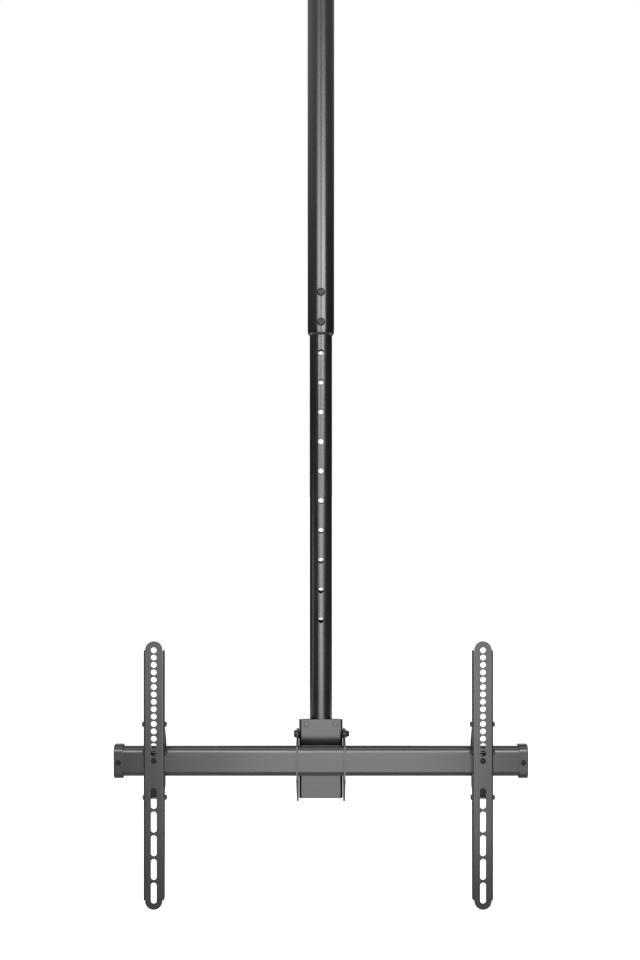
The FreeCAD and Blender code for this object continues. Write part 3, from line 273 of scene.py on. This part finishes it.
moulded_gloss = make_coating(
    "moulded_gloss", dark=(0.006, 0.006, 0.006), light=(0.011, 0.011, 0.011), roughness=0.22,
    cells=600, depth=0.000002, edge=0.0003, coat=0.7, specular=0.8, marks=0.1)

# The finish of each material of the solids, and of the pieces that differ from it
FINISHES = {
    "powder_coated_steel": bracket_coat,
    "black_screws": screw_finish,
    "black_plastic": moulded_black,
}
OWN_FINISHES = {
    "outer_tube": pole_coat,
    "inner_tube": pole_coat,
    "pole_spigot": pole_coat,
    "pivot_sleeve": pole_coat,
    "saddle_rivets": bracket_coat,
    "end_collar": moulded_gloss,
    "ceiling_plate": dull_coat_and_painted_shade,
    "ceiling_yoke": dull_coat_and_painted_shade,
    # The hook brackets take the darker coat as painted shade, seen through the arms' holes
    "left_hook_bracket": dull_coat_and_painted_shade,
    "right_hook_bracket": dull_coat_and_painted_shade,
    "left_cap_screw": dull_coat_and_painted_shade,
    "right_cap_screw": dull_coat_and_painted_shade,
}
for name, node in frame["nodes"].items():
    for slot in node.material_slots:
        slot.material = OWN_FINISHES.get(name, FINISHES[slot.material.name])


# Floor, backdrop light and lamps

FLOOR_HEIGHT = -2.4
FLOOR_REACH = 30
# The floor's pale paint, and the darker colour painted on it as shade for reflections
FLOOR_PAINT = (0.85, 0.85, 0.85, 1)
FLOOR_PAINTED_SHADE = (0.04, 0.04, 0.04, 1)
FLOOR_GLOW = 0.9
# A glow painted in a pool under the mount, seen only in reflections, fades between these distances
# from the pole, to this brightness
POOL_INNER = 2.6
POOL_OUTER = 3.3
POOL_PAINTED_GLOW = 0.35
POOL_EDGE_PAINTED_GLOW = 0.02


def make_floor():
    """A plain pale floor; reflections see it in painted shade, with a painted glow in a pool under
    the mount.
    """
    data = bpy.data.meshes.new("floor")
    shape = bmesh.new()
    bmesh.ops.create_grid(shape, x_segments=1, y_segments=1, size=FLOOR_REACH)
    bmesh.ops.translate(shape, verts=shape.verts, vec=(0, 0, FLOOR_HEIGHT))
    shape.to_mesh(data)
    shape.free()
    floor = bpy.data.objects.new("floor", data)
    scene.collection.objects.link(floor)
    material = bpy.data.materials.new("pale_floor")
    material.use_nodes = True
    tree = material.node_tree
    shader = tree.nodes["Principled BSDF"]
    shader.inputs["Roughness"].default_value = 0.9
    shader.inputs["Specular IOR Level"].default_value = 0.1
    # Reflections see the floor darkened by painted shade, and glowing in a painted pool near the
    # mount
    rays = add_node(tree, "ShaderNodeLightPath")
    paint = add_node(tree, "ShaderNodeMix", data_type="RGBA")
    paint.inputs["A"].default_value = FLOOR_PAINT
    paint.inputs["B"].default_value = FLOOR_PAINTED_SHADE
    link(tree, rays.outputs["Is Glossy Ray"], paint.inputs["Factor"])
    link(tree, paint.outputs["Result"], shader.inputs["Base Color"])
    place = add_node(tree, "ShaderNodeTexCoord").outputs["Object"]
    reach = add_node(tree, "ShaderNodeVectorMath", operation="LENGTH")
    link(tree, place, reach.inputs[0])
    painted_glow_pool = ramp(tree, reach.outputs["Value"], POOL_INNER, POOL_OUTER, POOL_PAINTED_GLOW, POOL_EDGE_PAINTED_GLOW)
    glossy = maths(tree, "MULTIPLY", rays.outputs["Is Glossy Ray"], painted_glow_pool)
    seen = maths(tree, "MAXIMUM", rays.outputs["Is Camera Ray"], glossy)
    shader.inputs["Emission Color"].default_value = (1, 1, 1, 1)
    link(tree, maths(tree, "MULTIPLY", seen, FLOOR_GLOW), shader.inputs["Emission Strength"])
    data.materials.append(material)


WORLD_FILL = 0.5


def make_world():
    """White to the camera and through glass; to reflections a dim room, lighter high up left."""
    world = bpy.data.worlds.new("studio")
    scene.world = world
    world.use_nodes = True
    tree = world.node_tree
    background = tree.nodes["Background"]
    rays = add_node(tree, "ShaderNodeLightPath")
    way = add_node(tree, "ShaderNodeTexCoord")
    split = add_node(tree, "ShaderNodeSeparateXYZ")
    link(tree, way.outputs["Generated"], split.inputs["Vector"])
    lighter_above = ramp(tree, split.outputs["Z"], 0.14, 0.38, 0.03, 0.62)
    lighter_left = ramp(tree, split.outputs["X"], -1.05, -0.45, 1.0, 0.38)
    glow = maths(tree, "MULTIPLY", lighter_above, lighter_left)
    glossy = maths(tree, "MULTIPLY", rays.outputs["Is Glossy Ray"], glow)
    seen = maths(tree, "MAXIMUM", rays.outputs["Is Camera Ray"], glossy)
    seen = maths(tree, "MAXIMUM", seen, rays.outputs["Is Transmission Ray"])
    background.inputs["Color"].default_value = (1, 1, 1, 1)
    diffuse = maths(tree, "MULTIPLY", rays.outputs["Is Diffuse Ray"], WORLD_FILL)
    link(tree, maths(tree, "MAXIMUM", seen, diffuse), background.inputs["Strength"])


def make_lamp(name, place, aim, width, height, radiance):
    """A soft box that faces a point, with its size in metres and the radiance of its face."""
    data = bpy.data.lights.new(name, "AREA")
    data.shape = "RECTANGLE"
    data.size = width
    data.size_y = height
    data.energy = radiance * math.pi * width * height
    lamp = bpy.data.objects.new(name, data)
    lamp.location = place
    lamp.rotation_euler = (Vector(aim) - Vector(place)).to_track_quat("-Z", "Y").to_euler()
    scene.collection.objects.link(lamp)


# Each lamp: its place, the point it faces, its width and height in metres, and its radiance
LAMPS = {
    # Two columns behind the camera, which draw the streaks along the pole
    "left_high": ((-1.2, -3.9, 0.8), (-1.2, 0, 0.8), 2.0, 0.8, 1.5),
    "left_upper": ((-1.2, -3.9, -0.05), (-1.2, 0, -0.05), 2.0, 0.9, 3.9),
    "left_lower": ((-1.2, -3.9, -0.95), (-1.2, 0, -0.95), 2.0, 0.9, 2.0),
    "left_base": ((-1.2, -3.9, -1.85), (-1.2, 0, -1.85), 2.0, 0.9, 0.75),
    "right_high": ((1.75, -3.9, 0.8), (1.75, 0, 0.8), 2.3, 0.8, 1.7),
    "right_upper": ((1.75, -3.9, -0.05), (1.75, 0, -0.05), 2.3, 0.9, 5.1),
    "right_lower": ((1.75, -3.9, -0.95), (1.75, 0, -0.95), 2.3, 0.9, 2.4),
    "right_base": ((1.75, -3.9, -1.85), (1.75, 0, -1.85), 2.3, 0.9, 1.0),
    # Three soft boxes one in front of another, which light the bar and fade toward its ends
    "low_wide": ((0.06, -1.2, -1.82), (0.06, 0, -1.79), 1.2, 0.68, 0.48),
    "low_middle": ((0.07, -1.15, -1.84), (0.07, 0, -1.83), 0.9, 0.46, 0.48),
    "low_core": ((0.07, -1.1, -1.83), (0.07, 0, -1.83), 0.54, 0.45, 0.69),
    # The light on the channel and on the front of the pole
    "middle_box": ((0.04, -1.1, -1.38), (0.04, 0, -1.38), 0.5, 0.46, 2.4),
    "centre_fill": ((0.05, -1.1, -0.8), (0.05, 0, -0.8), 0.3, 0.8, 0.9),
    # Top, side, back and low lights, which show the form from the other sides
    "overhead": ((0, -0.8, 1.6), (0, 0, -0.5), 2.6, 1.8, 0.8),
    "left_strip": ((-1.2, -0.07, -1.6), (0, 0, -1.6), 0.42, 0.8, 0.55),
    "back_left": ((-0.85, 3.0, -1.2), (-0.3, 0, -1.2), 0.9, 2.3, 0.5),
    "back_right": ((0.85, 3.0, -1.2), (0.3, 0, -1.2), 0.9, 2.3, 0.5),
    "floor_left": ((-1.6, 1.35, -2.38), (-1.3, 1.1, 0), 1.7, 1.7, 1.1),
    "floor_right": ((1.6, 1.35, -2.38), (1.3, 1.1, 0), 1.7, 1.7, 1.1),
}

make_floor()
make_world()
for lamp_name, (place, aim, width, height, radiance) in LAMPS.items():
    make_lamp(lamp_name, place, aim, width, height, radiance)
